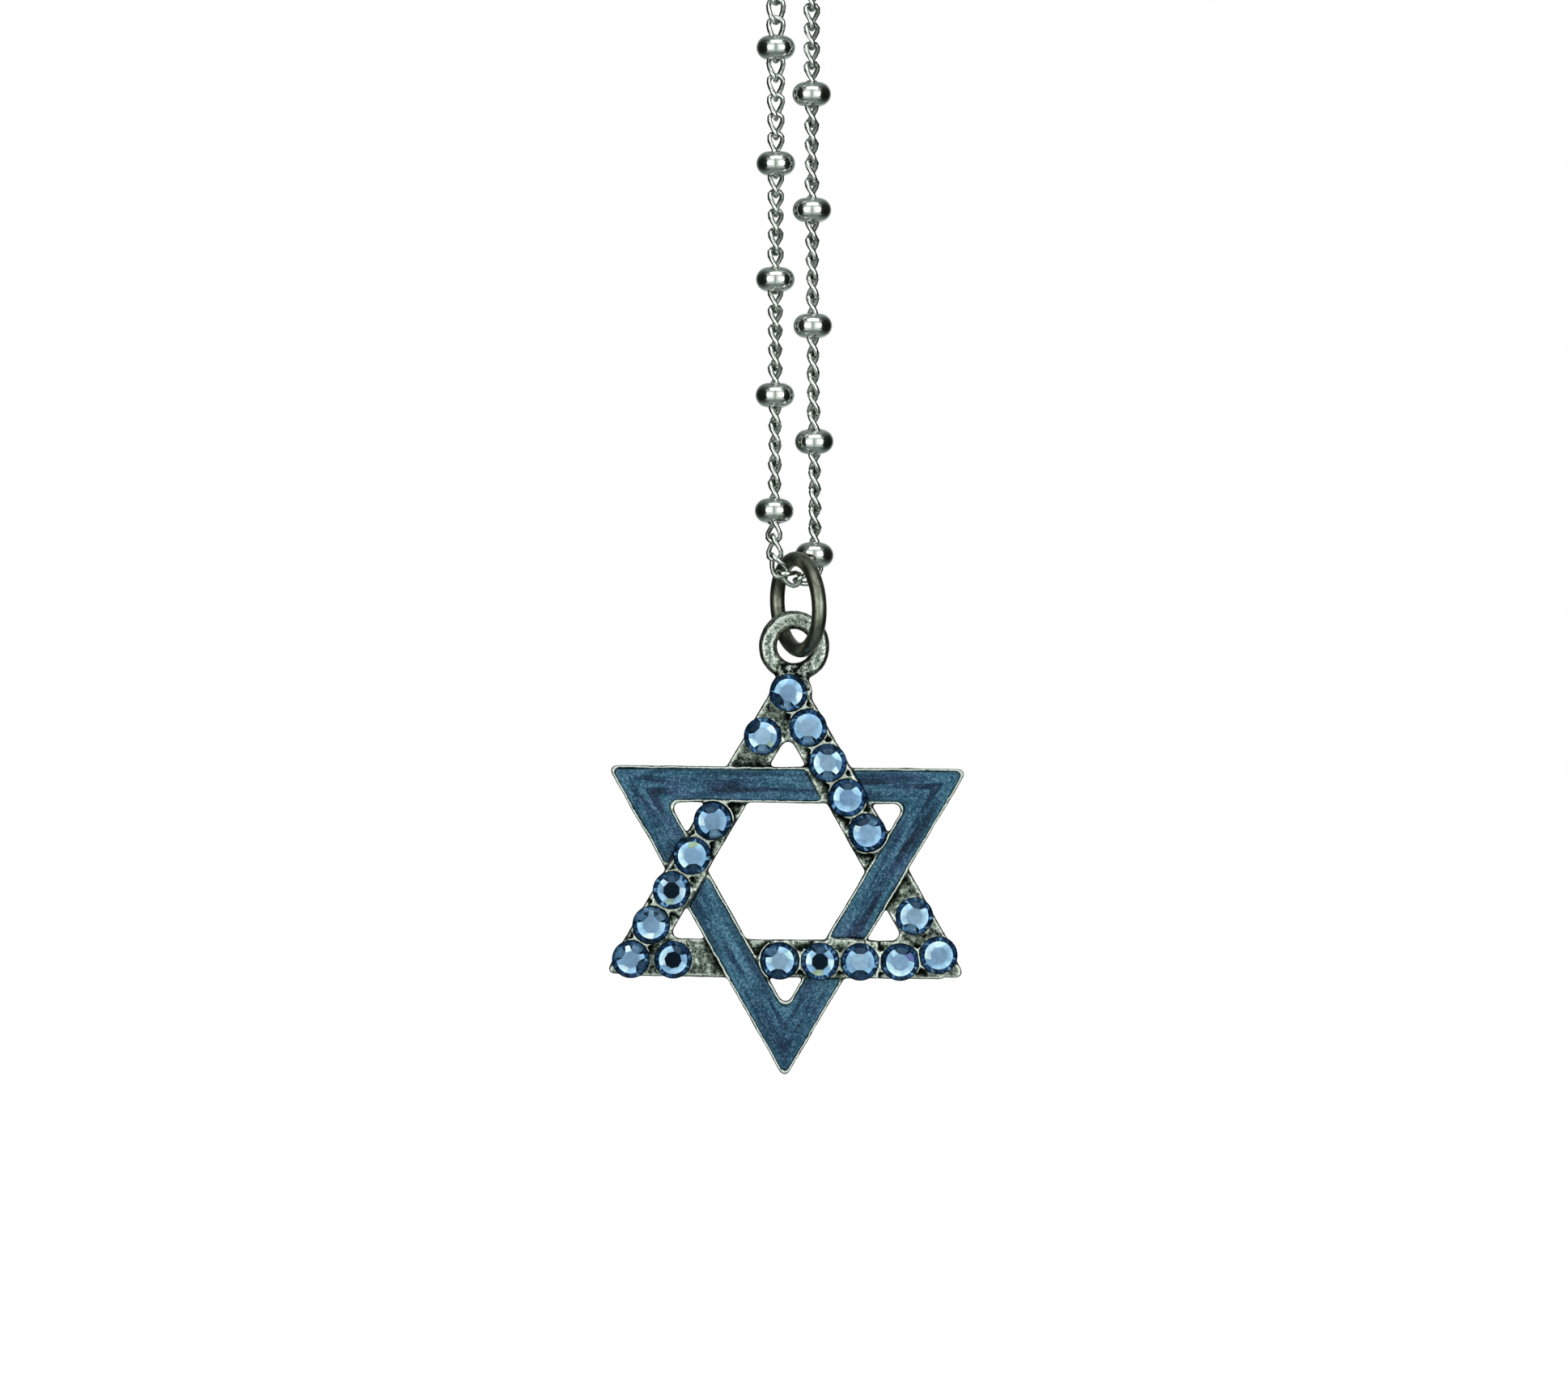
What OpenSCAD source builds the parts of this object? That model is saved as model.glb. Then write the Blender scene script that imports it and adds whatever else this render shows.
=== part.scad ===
/* [Stones] */
// Width across each round stone
stone_d = 2.54; // [2:0.02:3.4]
// Full height of each stone from its flat back to its table
stone_h = 1.15; // [0.8:0.05:1.6]
// Width of the eight-sided table
table_d = 1.16; // [0.8:0.02:1.5]
// Width of the flat back
back_d = 2; // [1.5:0.05:2.2]
// Gap between neighbouring stones in a row
stone_gap = 0.14; // [0.08:0.02:0.4]
// Distance from the middle of a stone to the outer edge of its bar
stone_in = 1; // [0.8:0.05:1.4]
// How far the lower right corner stone sits above its row
corner_up = 0.48; // [0:0.02:0.6]

/* [Star] */
// Width of each bar of the two triangles
bar_w = 2.4; // [2:0.1:3.2]
// Free run of bar between a stone and the enamel bar that covers the row
cross_gap = 0.98; // [0.3:0.02:1.5]
// Thickness of the enamelled triangle
enamel_bar_t = 1.55; // [1.3:0.05:2.4]
// Thickness of the stone-set triangle where it runs low
stone_bar_t = 1.25; // [1:0.05:2.2]
// Height that the stone-set triangle gains where it passes over the other
cross_rise = 0.45; // [0.2:0.05:0.8]
// Radius of the star's outer corners
corner_r = 0.35; // [0.2:0.05:0.8]
// Radius of the windows' inner corners
window_r = 0.45; // [0.3:0.05:0.9]
// How far the star leans clockwise as it hangs, in degrees
lean = 0.6; // [0:0.1:4]

/* [Enamel] */
// Width of the metal rim on each side of the enamel
rim_w = 0.2; // [0.15:0.01:0.4]
// Depth of the enamel
enamel_d = 0.4; // [0.25:0.05:0.7]

/* [Eye] */
// Room in the hole beside the wire of the jump ring
eye_play = 0.64; // [0.4:0.02:1.2]
// Width of the metal round the hole
eye_wall = 1.22; // [0.8:0.02:2]
// Thickness of the eye
eye_t = 1.3; // [1:0.05:2]
// Metal between the top stone and the hole
eye_web = 0.72; // [0.4:0.02:2]
// Sideways offset of the eye from the line through the star's points
eye_off = 0.35; // [0:0.05:0.6]
// Radius of the shoulder round the top stone
shoulder_r = 1.45; // [1.4:0.05:2.2]
// Chamfer on the edges of the eye
eye_edge = 0.28; // [0.1:0.02:0.35]

/* [Jump ring] */
// Outer diameter of the jump ring
ring_d = 7.1; // [6.4:0.1:10]
// Wire diameter of the jump ring
ring_wire = 1; // [0.7:0.05:1.3]
// Turn of the ring's plane away from the line of sight, in degrees
ring_turn = 27; // [10:0.5:34]
// How far the ring leans to the left at its top, in degrees
ring_lean = 4; // [0:0.5:6]
// How far the ring's middle stands in front of the star's middle plane
ring_front = 0.7; // [0.4:0.05:1]

/* [Chain] */
// Length of the whole necklace, closed
necklace_len = 406; // [350:2:610]
// Width of the curb chain
chain_w = 1.35; // [1:0.05:1.5]
// Length that one link adds to the chain
link_pitch = 1.29; // [1:0.01:1.5]
// Links from one bead to the next
links_between = 6; // [5:1:12]
// Distance along the chain from its lowest point to the first bead on the right
first_right = 3.3; // [3.2:0.05:3.4]
// Distance along the chain from its lowest point to the first bead on the left
first_left = 5.2; // [4.8:0.05:5.6]
// Outer diameter of each bead
bead_d = 2.6; // [2.4:0.05:2.7]
// Height of each bead along the chain
bead_h = 1.62; // [1.2:0.02:2]
// Room round the chain inside a bead
bead_play = 0.2; // [0.12:0.01:0.22]

/* [Clasp] */
// Outer diameter of the clasp's hoop
clasp_d = 6; // [5.6:0.1:9]
// Wire diameter of the clasp's hoop
clasp_wire = 1; // [0.8:0.05:1.3]
// Wire diameter of the clasp's own eye
clasp_eye_wire = 0.6; // [0.4:0.05:0.8]
// Outer diameter of the clasp's own eye
clasp_eye_d = 2.3; // [2.1:0.05:2.8]
// Outer diameter of each end ring
end_ring_d = 3; // [2.8:0.1:4]
// Wire diameter of each end ring
end_ring_wire = 0.5; // [0.4:0.05:0.6]

/* [Fits] */
// Gap between a seated piece and its seat
fit = 0.04; // [0.02:0.01:0.08]
// Gap between pieces that hang in each other
hang = 0.05; // [0.03:0.01:0.15]

/* [Hidden] */
$fn = 48;
// The star's corners and rows lie a third of a turn apart
third_turn = 120;
// Step round a rounded corner, and between the corners of a stone's girdle
arc_step = 20;
cut_step = 22.5;
// How far a cut reaches past the metal
past = 0.5;

root3 = sqrt(3);
stone_r = stone_d / 2;
pitch = stone_d + stone_gap;
// Half the length along a row that a crossing bar covers at the row's middle line
cross_half = bar_w / root3;
// The side follows from the row: a corner stone, four stones and the covered run
side = 1.5 * (4 * pitch + cross_half + stone_r + cross_gap + stone_in * root3);
inr = side / (2 * root3);
row_r = inr - stone_in;
cross_u = side / 6;
u_before = cross_u - cross_half - stone_r - cross_gap;
// Free places for the stone between the enamel bar and the corner stone, and each row's share of them
u_near = cross_u + cross_half + stone_r;
u_far = side / 2 - stone_in * root3 - pitch;
after_share = [0.12, 0.85, 0.3];
high_rows = [0, 0, 1, 1, 0, 0];
// The raised corner stone sits in along its row until half a gap is left
corner_slide = pitch - sqrt(pow(stone_d + stone_gap / 2, 2) - pow(corner_up, 2));
// How far a high stretch runs on past the bar that it covers
over_run = 0.15;

// Seats
seat_deep = 0.1;
seat_up = 0.1;
seat_wall_in = 0.03;
seat_wall_r = stone_r - seat_wall_in;
girdle_h = 0.4 * stone_h;
girdle_t = 0.08;
mid_h = 0.8 * stone_h;
mid_r = table_d / 2 + 0.52 * (stone_r - table_d / 2);
back_flare = (stone_r - back_d / 2) / girdle_h;
// Each stone is set a little further round than the one before it
stone_turn = 7;

// Eye and jump ring
hole_r = ring_wire / 2 + eye_play;
eye_r = hole_r + eye_wall;
apex_r = 2 * row_r;
eye_up = apex_r + stone_r + eye_web + hole_r;
ring_r = (ring_d - ring_wire) / 2;
// The necklace hangs straight above the eye
hang_x = eye_off * cos(lean) + eye_up * sin(lean);
eye_z = eye_up * cos(lean) - eye_off * sin(lean);
// The wire passes low and to the right through the eye
wire_side = 0.2 * eye_play;
wire_drop = 0.42 * eye_play;
ring_low = eye_z - wire_drop;
ring_low_x = hang_x + wire_side + ring_front * tan(ring_turn);
ring_x = ring_low_x - ring_r * sin(ring_lean);
ring_z = ring_low + ring_r * cos(ring_lean);
along = [sin(ring_turn), -cos(ring_turn), 0];

// Chain
chain_r = chain_w / 2;
chain_low = ring_z + (ring_r - ring_wire / 2 - hang - chain_r) * cos(ring_lean);
spacing = links_between * link_pitch;
bead_bore = chain_r + bead_play;
tube_sides = 8;
bead_sides = 12;
strand_gap = 2.25;
// The turn through the jump ring, then the visible run of each strand:
// sideways from the hanging line, backwards, height above the lowest point
turn_points = [[-1.35, -0.5, 2.8], [-1.32, -0.6, 1.8], [-1.2, -0.65, 1], [-0.85, -0.5, 0.36], [-0.25, -0.22, 0],
               [0.75, 0.3, 0], [1.15, 0.98, 0.22], [1.34, 1.55, 0.65], [1.38, 1.82, 2.4], [1.4, 1.65, 3.4]];
left_points = [[-1.32, -0.35, 5], [-1.28, -0.1, 9], [-1.27, 0, 14], [-1.22, 0, 27]];
right_points = [[1.4, 1.1, 5], [1.35, 0.5, 9], [1.27, 0, 14], [1.18, 0, 27]];
ring_step = 6.6;

// Clasp
clasp_r = (clasp_d - clasp_wire) / 2;
clasp_eye_r = (clasp_eye_d - clasp_eye_wire) / 2;
end_ring_r = (end_ring_d - end_ring_wire) / 2;
end_inner = end_ring_r - end_ring_wire / 2;
end_x = strand_gap / 2;
clasp_eye_reach = clasp_r + clasp_wire / 2 + clasp_eye_r;
clasp_eye_z = -sqrt(pow(clasp_eye_reach, 2) - pow(end_x, 2));
left_wire_z = clasp_eye_z - clasp_eye_r;
right_wire_z = -sqrt(pow(clasp_r, 2) - pow(end_x, 2));
left_ring_z = left_wire_z + clasp_eye_wire / 2 + hang - end_inner;
// The hoop's wire runs askew where the right end ring hangs, so it takes more room there
right_slope = end_x / -right_wire_z;
right_ring_z = right_wire_z + clasp_wire / 2 * sqrt(1 + pow(right_slope, 2)) + end_ring_wire / 2 * right_slope
               + hang - end_inner;
left_end_z = left_ring_z - end_ring_r - end_ring_wire / 2 - 2 * hang;
right_end_z = right_ring_z - end_ring_r - end_ring_wire / 2 - 2 * hang;
// Length of chain that lies across, at the turn and at the clasp
turn_len = 2.2;
// Height of the clasp's middle above the star's middle, for the length of the loop
clasp_z = chain_low + (necklace_len - turn_len) / 2 - clasp_r;
hang_z = clasp_z + clasp_r - clasp_wire / 2;

function dir(a) = [cos(a), sin(a)];
function unit(v) = v / norm(v);
function flat_tri(inrad, r, point) = [
    for (k = [0:2]) for (a = [-third_turn / 2:arc_step:third_turn / 2])
        2 * (inrad - r) * dir(point + third_turn * k) + r * dir(point + third_turn * k + a)
];
// The way from the middle of the star out to row k
function row_turn(k) = third_turn / 4 - third_turn * k;
// A place on row k: u along the row, d out from the middle of the star
function on_row(k, u, d) =
    let (a = row_turn(k)) d * dir(a) + u * [sin(a), -cos(a)];
// Place 0 of a row is its corner stone; places 2 and 3 lie where the row passes over, 5 past the bar that covers it
function row_u(k, j) = j == 5 ? u_near + after_share[k] * (u_far - u_near) : u_before - (4 - j) * pitch;
function stone_place(k, j) =
    j > 0 ? on_row(k, row_u(k, j), row_r) :
    k == 1 ? on_row(k, corner_slide - row_r * root3, row_r - corner_up) :
    apex_r * dir(row_turn(k) + third_turn / 2);
function bar_top(j) = stone_bar_t + high_rows[j] * cross_rise;

// Everything hangs from the origin
module hung() translate([-hang_x, 0, -hang_z]) children();
// From the flat drawing of the star, front face up, to its place
module standing() hung() translate([0, ring_front, 0]) rotate([90, 0, 0]) rotate([0, 0, -lean])
    translate([0, 0, -eye_t / 2]) children();

module triangle(inset, point) difference() {
    polygon(flat_tri(inr - inset, max(corner_r - inset / 2, 0.1), point));
    polygon(flat_tri(inr - bar_w + inset, window_r + inset / 2, point));
}

// The stretch of stone row k that passes over the enamelled bar, widened by grow
module over(k, grow) {
    reach = bar_w * root3 / 2 + over_run + grow;
    polygon([on_row(k, -cross_u - reach, inr - bar_w - grow), on_row(k, -cross_u + reach, inr - bar_w - grow),
             on_row(k, -cross_u + reach, inr + grow), on_row(k, -cross_u - reach, inr + grow)]);
}

// One third of the trough: the part of the lower triangle round one of its corners
module pool(third, inset) difference() {
    intersection() {
        triangle(inset, -90);
        polygon([[0, 0], for (i = [1:3]) side * dir(third_turn * (third + i / 2))]);
    }
    for (k = [0:2]) over(k, inset);
}

module seat(k, j) {
    p = stone_place(k, j);
    translate([p[0], p[1], bar_top(j) - seat_deep])
        cylinder(h = seat_deep + seat_up + past, r1 = back_d / 2 + fit,
                 r2 = back_d / 2 + fit + back_flare * (seat_deep + seat_up + past));
}

module seat_wall(k, j) {
    p = stone_place(k, j);
    translate([p[0], p[1], 0]) cylinder(h = bar_top(j) + seat_up, r = seat_wall_r);
}

module eye() {
    e = eye_edge;
    translate([eye_off, eye_up, 0]) rotate_extrude()
        polygon([[hole_r + e, 0], [eye_r - e, 0], [eye_r, e], [eye_r, eye_t - e], [eye_r - e, eye_t],
                 [hole_r + e, eye_t], [hole_r, eye_t - e], [hole_r, e]]);
}

module star() color("#8d938f") standing() difference() {
    union() {
        linear_extrude(enamel_bar_t) triangle(0, -90);
        linear_extrude(stone_bar_t) triangle(0, 90);
        for (k = [0:2]) linear_extrude(stone_bar_t + cross_rise) over(k, 0);
        for (k = [0:2]) for (j = [0:5]) seat_wall(k, j);
        difference() {
            translate([eye_off / 2, apex_r, 0]) cylinder(h = stone_bar_t, r = shoulder_r);
            translate([eye_off, eye_up, -past]) cylinder(h = eye_t + 2 * past, r = hole_r);
        }
        eye();
    }
    for (third = [0:2])
        translate([0, 0, enamel_bar_t - enamel_d]) linear_extrude(enamel_d + past) pool(third, rim_w);
    for (k = [0:2]) for (j = [0:5]) seat(k, j);
}

module enamel(third) color("#2b5673") standing()
    translate([0, 0, enamel_bar_t - enamel_d + fit]) linear_extrude(enamel_d - 2 * fit)
        pool(third, rim_w + fit);

// A round flat-back crystal: back, girdle, twenty-four upper facets, eight main facets and a table
module crystal() {
    back = [for (i = [0:15]) concat(back_d / 2 * dir(cut_step * i), 0)];
    low = [for (i = [0:15]) concat(stone_r * dir(cut_step * i), girdle_h)];
    high = [for (i = [0:15]) concat(stone_r * dir(cut_step * i), girdle_h + girdle_t)];
    mid = [for (i = [0:7]) concat(mid_r * dir(2 * cut_step * i), mid_h)];
    top = [for (i = [0:7]) concat(table_d / 2 * dir(2 * cut_step * i), stone_h)];
    polyhedron(
        points = concat(back, low, high, mid, top),
        faces = concat(
            [[for (i = [0:15]) i]],
            [for (i = [0:15]) [i, i + 16, (i + 1) % 16 + 16]],
            [for (i = [0:15]) [i, (i + 1) % 16 + 16, (i + 1) % 16]],
            [for (i = [0:15]) [i + 16, i + 32, (i + 1) % 16 + 32]],
            [for (i = [0:15]) [i + 16, (i + 1) % 16 + 32, (i + 1) % 16 + 16]],
            [for (i = [0:7]) [48 + i, 48 + (i + 1) % 8, 33 + 2 * i]],
            [for (i = [0:7]) [48 + i, 33 + 2 * i, 32 + 2 * i]],
            [for (i = [0:7]) [48 + i, 32 + 2 * i, 32 + (2 * i + 15) % 16]],
            [for (i = [0:7]) [48 + i, 56 + i, 56 + (i + 1) % 8, 48 + (i + 1) % 8]],
            [[for (i = [7:-1:0]) 56 + i]]));
}

module stone(n) {
    k = floor((n - 1) / 6);
    j = (n - 1) % 6;
    p = stone_place(k, j);
    color("#7f9cc4") standing() translate([p[0], p[1], bar_top(j) - seat_deep + fit])
        rotate([0, 0, row_turn(k) + stone_turn * n]) crystal();
}

module jump_ring() color("#5d5f56") hung() translate([ring_x, 0, ring_z])
    rotate([0, -ring_lean, 0]) rotate([0, 0, ring_turn - 90]) rotate([90, 0, 0])
        rotate_extrude() translate([ring_r, 0]) circle(ring_wire / 2);

// Chain route, in the frame of the star's middle, from the left end down and up to the right end
function strand_at(p) = [hang_x + p[0], p[1], chain_low + p[2]];
function upper(p, q) = let (n = ceil(norm(q - p) / ring_step)) [for (i = [1:n]) p + (q - p) * i / n];
left_top = [hang_x - end_x, 0, clasp_z + left_end_z];
right_top = [hang_x + end_x, 0, clasp_z + right_end_z];
bottom_run = [for (p = turn_points) strand_at(p)];
left_up = [for (p = left_points) strand_at(p)];
right_up = [for (p = right_points) strand_at(p)];
left_run = concat(left_up, upper(left_up[len(left_up) - 1], left_top));
right_run = concat(right_up, upper(right_up[len(right_up) - 1], right_top));
route = concat([for (i = [len(left_run) - 1:-1:0]) left_run[i]], bottom_run, right_run);
// Distance along the route at each point, with zero where the chain is lowest
low_index = len(left_run) + 4;
bottom_first = len(left_run) - len(left_up);
bottom_last = len(left_run) + len(bottom_run) + len(right_up) - 1;
steps = [for (i = [0:len(route) - 2]) norm(route[i + 1] - route[i])];
cum = [for (i = 0, s = 0; i < len(route); s = s + (i < len(steps) ? steps[i] : 0), i = i + 1) s];
zero_s = cum[low_index] - turn_points[4][0];
function piece_of(s, i = 0) = i >= len(route) - 2 || cum[i + 1] >= s ? i : piece_of(s, i + 1);
function point_at(s) = let (i = piece_of(s)) route[i] + (route[i + 1] - route[i]) * (s - cum[i]) / steps[i];
function heading(s) = unit(point_at(s + bead_h / 2) - point_at(s - bead_h / 2));

function tangent(i) =
    i == 0 ? unit(route[1] - route[0])
    : i == len(route) - 1 ? unit(route[i] - route[i - 1])
    : unit(unit(route[i] - route[i - 1]) + unit(route[i + 1] - route[i]));
function tube_ring(i) =
    let (t = tangent(i), u = unit(cross(t, along)), v = cross(u, t))
    [for (k = [0:tube_sides - 1]) route[i] + chain_r * (u * cos(360 * (k + 0.5) / tube_sides)
                                                    + v * sin(360 * (k + 0.5) / tube_sides))];

// The chain from one point of the route to another
module stretch(first, last) {
    n = last - first + 1;
    m = tube_sides;
    color("#b9bdb6") hung() polyhedron(
        points = [for (i = [first:last]) each tube_ring(i)],
        faces = concat(
            [[for (k = [0:m - 1]) k]],
            [for (i = [0:n - 2]) for (k = [0:m - 1])
                [i * m + k, (i + 1) * m + k, (i + 1) * m + (k + 1) % m]],
            [for (i = [0:n - 2]) for (k = [0:m - 1])
                [i * m + k, (i + 1) * m + (k + 1) % m, i * m + (k + 1) % m]],
            [[for (k = [m - 1:-1:0]) (n - 1) * m + k]]));
}

// Half a bead's section, from the lower edge of its bore round its rounded side to the upper edge
function bead_section() =
    let (r = bead_h / 2, mid = bead_d / 2 - r, a = acos((bead_bore - mid) / r))
    [for (i = [-2:2]) [mid + r * cos(a * i / 2), r * sin(a * i / 2)]];

// The lower stretch turns through the jump ring and meets both upper strands face to face
module chain_bottom() stretch(bottom_first, bottom_last);

module chain_top() {
    stretch(0, bottom_first);
    stretch(bottom_last, len(route) - 1);
}

module bead(s) {
    p = point_at(s);
    t = heading(s);
    translate(p) rotate([0, acos(t[2]), atan2(t[1], t[0])])
        rotate_extrude($fn = bead_sides) polygon(bead_section());
}

module chain_beads() color("#c9ccc6") hung() {
    for (s = [zero_s + first_right : spacing : cum[len(cum) - 1] - spacing / 2]) bead(s);
    for (s = [zero_s - first_left : -spacing : spacing / 2]) bead(s);
}

module clasp() color("#b9bdb6") hung() translate([hang_x, 0, clasp_z]) union() {
    rotate([90, 0, 0]) rotate_extrude() translate([clasp_r, 0]) circle(clasp_wire / 2);
    translate([-end_x, 0, clasp_eye_z]) rotate([90, 0, 0])
        rotate_extrude() translate([clasp_eye_r, 0]) circle(clasp_eye_wire / 2);
}

module end_ring(x, z) color("#b9bdb6") hung() translate([hang_x + x, 0, clasp_z + z])
    rotate([0, 90, 0]) rotate_extrude() translate([end_ring_r, 0]) circle(end_ring_wire / 2);

star();
enamel(0);  // enamel_left
enamel(2);  // enamel_right
enamel(1);  // enamel_tip
stone(1);  // stone_01
stone(2);  // stone_02
stone(3);  // stone_03
stone(4);  // stone_04
stone(5);  // stone_05
stone(6);  // stone_06
stone(7);  // stone_07
stone(8);  // stone_08
stone(9);  // stone_09
stone(10);  // stone_10
stone(11);  // stone_11
stone(12);  // stone_12
stone(13);  // stone_13
stone(14);  // stone_14
stone(15);  // stone_15
stone(16);  // stone_16
stone(17);  // stone_17
stone(18);  // stone_18
jump_ring();
chain_bottom();
chain_top();
chain_beads();
clasp();
end_ring(-end_x, left_ring_z);  // end_ring_left
end_ring(end_x, right_ring_z);  // end_ring_right
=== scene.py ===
import math
import bmesh
import bpy
import numpy as np
from mathutils import Matrix, Vector


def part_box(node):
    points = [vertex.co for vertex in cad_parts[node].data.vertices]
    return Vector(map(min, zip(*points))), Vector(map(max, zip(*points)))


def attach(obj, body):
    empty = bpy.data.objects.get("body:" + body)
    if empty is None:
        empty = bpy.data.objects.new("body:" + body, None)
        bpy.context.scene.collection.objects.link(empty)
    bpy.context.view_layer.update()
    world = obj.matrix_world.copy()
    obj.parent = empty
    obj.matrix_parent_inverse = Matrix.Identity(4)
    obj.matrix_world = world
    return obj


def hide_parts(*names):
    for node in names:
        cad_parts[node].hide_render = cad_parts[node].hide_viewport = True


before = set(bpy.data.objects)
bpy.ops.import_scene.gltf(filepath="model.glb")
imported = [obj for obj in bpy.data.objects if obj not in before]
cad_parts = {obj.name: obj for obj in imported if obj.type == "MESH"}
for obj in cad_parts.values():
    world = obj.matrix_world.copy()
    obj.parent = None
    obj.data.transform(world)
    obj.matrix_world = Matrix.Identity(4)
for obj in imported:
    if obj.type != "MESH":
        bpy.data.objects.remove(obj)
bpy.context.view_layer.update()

# The camera stands in front of the star with a long lens, as for a catalogue picture of hanging jewellery, so the
# bars of the star keep parallel edges. The frame is 105 mm wide where the star hangs.
scene = bpy.context.scene
lens = bpy.data.cameras.new("camera")
lens.lens = 200
lens.sensor_width = 36
lens.clip_start = 0.02
lens.clip_end = 20
camera = bpy.data.objects.new("camera", lens)
camera.location = (-0.000676, -0.582, -0.2094)
camera.rotation_euler = (math.radians(90), 0, 0)
scene.collection.objects.link(camera)
scene.camera = camera

# The studio: a plain pale floor in a white tent. Two broad soft lamps stand left and right of the lens and one
# hangs above, with dark gaps between them, which polished metal needs to show its shape.
mm = 0.001


def srgb(code):
    """The linear colour of an sRGB hex code."""
    parts = [int(code[i:i + 2], 16) / 255 for i in (1, 3, 5)]
    return tuple(p / 12.92 if p <= 0.04045 else ((p + 0.055) / 1.055) ** 2.4 for p in parts) + (1.0,)


def add(tree, kind, values=None, stops=None, **settings):
    """Adds a node. Values fill its inputs: a socket is linked, and so is a node's first output. Stops are a
    colour ramp's."""
    made = tree.nodes.new(kind)
    for key, value in settings.items():
        setattr(made, key, value)
    for key, value in (values or {}).items():
        if isinstance(value, bpy.types.Node):
            value = value.outputs[0]
        if isinstance(value, bpy.types.NodeSocket):
            tree.links.new(value, made.inputs[key])
        else:
            made.inputs[key].default_value = value
    if stops:
        ramp = made.color_ramp
        while len(ramp.elements) < len(stops):
            ramp.elements.new(1.0)
        for element, (place, code) in zip(ramp.elements, stops):
            element.position = place
            element.color = srgb(code)
    return made


def finish_named(name):
    """A new material, its empty tree and the place on the object that its patterns start from."""
    made = bpy.data.materials.new(name)
    made.use_nodes = True
    made.node_tree.nodes.clear()
    return made, made.node_tree, add(made.node_tree, "ShaderNodeTexCoord").outputs["Object"]


def piece(name, points, faces, finish, smooth=True):
    """An object from points in millimetres, its faces and its material."""
    mesh = bpy.data.meshes.new(name)
    mesh.from_pydata((np.asarray(points, float) * mm).tolist(), [], faces)
    mesh.update()
    mesh.materials.append(finish)
    mesh.polygons.foreach_set("use_smooth", [smooth] * len(mesh.polygons))
    made = bpy.data.objects.new(name, mesh)
    scene.collection.objects.link(made)
    return made


scene.view_settings.view_transform = "Standard"
world = bpy.data.worlds.new("white_tent")
scene.world = world
world.use_nodes = True
sky = world.node_tree
sky.nodes.clear()
way = add(sky, "ShaderNodeTexCoord").outputs["Generated"]
parts = add(sky, "ShaderNodeSeparateXYZ", {0: way}).outputs
# What mirrors see: grey, dark at the sides, bright behind the object on the right, and in front two tall white
# screens with a narrow gap between them for the lens
across = add(sky, "ShaderNodeMath", {0: parts["X"]}, operation="ABSOLUTE")
sides = add(sky, "ShaderNodeValToRGB", {"Fac": across},
            stops=[(0.0, "#7c8682"), (0.35, "#838d88"), (0.56, "#5a625c"), (0.8, "#20251f"), (1.0, "#12160f")])
height = add(sky, "ShaderNodeMath", {0: parts["Z"]}, operation="ABSOLUTE")
screens = add(sky, "ShaderNodeMapRange", {"Value": across, "From Min": 0.03, "From Max": 0.08})
for value, near, far in ((across, 0.62, 0.78), (height, 0.55, 0.75),
                         (parts["Y"], -0.3, -0.1)):
    fade = add(sky, "ShaderNodeMapRange", {"Value": value, "From Min": near, "From Max": far, "To Min": 1.0,
                                           "To Max": 0.0})
    screens = add(sky, "ShaderNodeMath", {0: screens, 1: fade}, operation="MULTIPLY")
sides = add(sky, "ShaderNodeMix", {"Factor": screens, 6: sides, 7: srgb("#dfe6df")}, data_type="RGBA")
behind = add(sky, "ShaderNodeMapRange", {"Value": parts["Y"], "From Min": 0.75, "From Max": 0.97})
right = add(sky, "ShaderNodeMapRange", {"Value": parts["X"], "From Min": -0.25, "From Max": 0.2,
                                        "To Min": 0.15, "To Max": 1.0})
rear = add(sky, "ShaderNodeMath", {0: behind, 1: right}, operation="MULTIPLY")
mirror = add(sky, "ShaderNodeMix", {"Factor": rear, 6: sides.outputs[2], 7: srgb("#e6eae8")}, data_type="RGBA")
ray = add(sky, "ShaderNodeLightPath").outputs
seen = add(sky, "ShaderNodeBackground", {"Color": (1, 1, 1, 1), "Strength": 1.0})
ambient = add(sky, "ShaderNodeBackground", {"Color": (1, 1, 1, 1), "Strength": 0.72})
glossy = add(sky, "ShaderNodeBackground", {"Color": mirror.outputs[2], "Strength": 1.0})
shown = add(sky, "ShaderNodeMixShader", {0: ray["Is Glossy Ray"], 1: ambient, 2: glossy})
shown = add(sky, "ShaderNodeMixShader", {0: ray["Is Camera Ray"], 1: shown, 2: seen})
add(sky, "ShaderNodeOutputWorld", {"Surface": shown})

# Each lamp: name, place, point that it faces, width, height and watts
for name, place, target, wide, high, watts in [
        ("lamp_left", (-0.34, -0.52, -0.18), (0, 0, -0.205), 0.42, 0.44, 0.85),
        ("lamp_right", (0.36, -0.50, -0.18), (0, 0, -0.205), 0.40, 0.44, 0.95),
        ("lamp_above", (0.02, -0.30, 0.28), (0, 0, -0.215), 0.60, 0.30, 1.0)]:
    lamp = bpy.data.lights.new(name, "AREA")
    lamp.shape = "RECTANGLE"
    lamp.size, lamp.size_y, lamp.energy = wide, high, watts
    stand = bpy.data.objects.new(name, lamp)
    stand.location = place
    aim = Vector(target) - stand.location
    stand.rotation_euler = aim.to_track_quat("-Z", "Y").to_euler()
    stand.visible_camera = False
    scene.collection.objects.link(stand)

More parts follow.
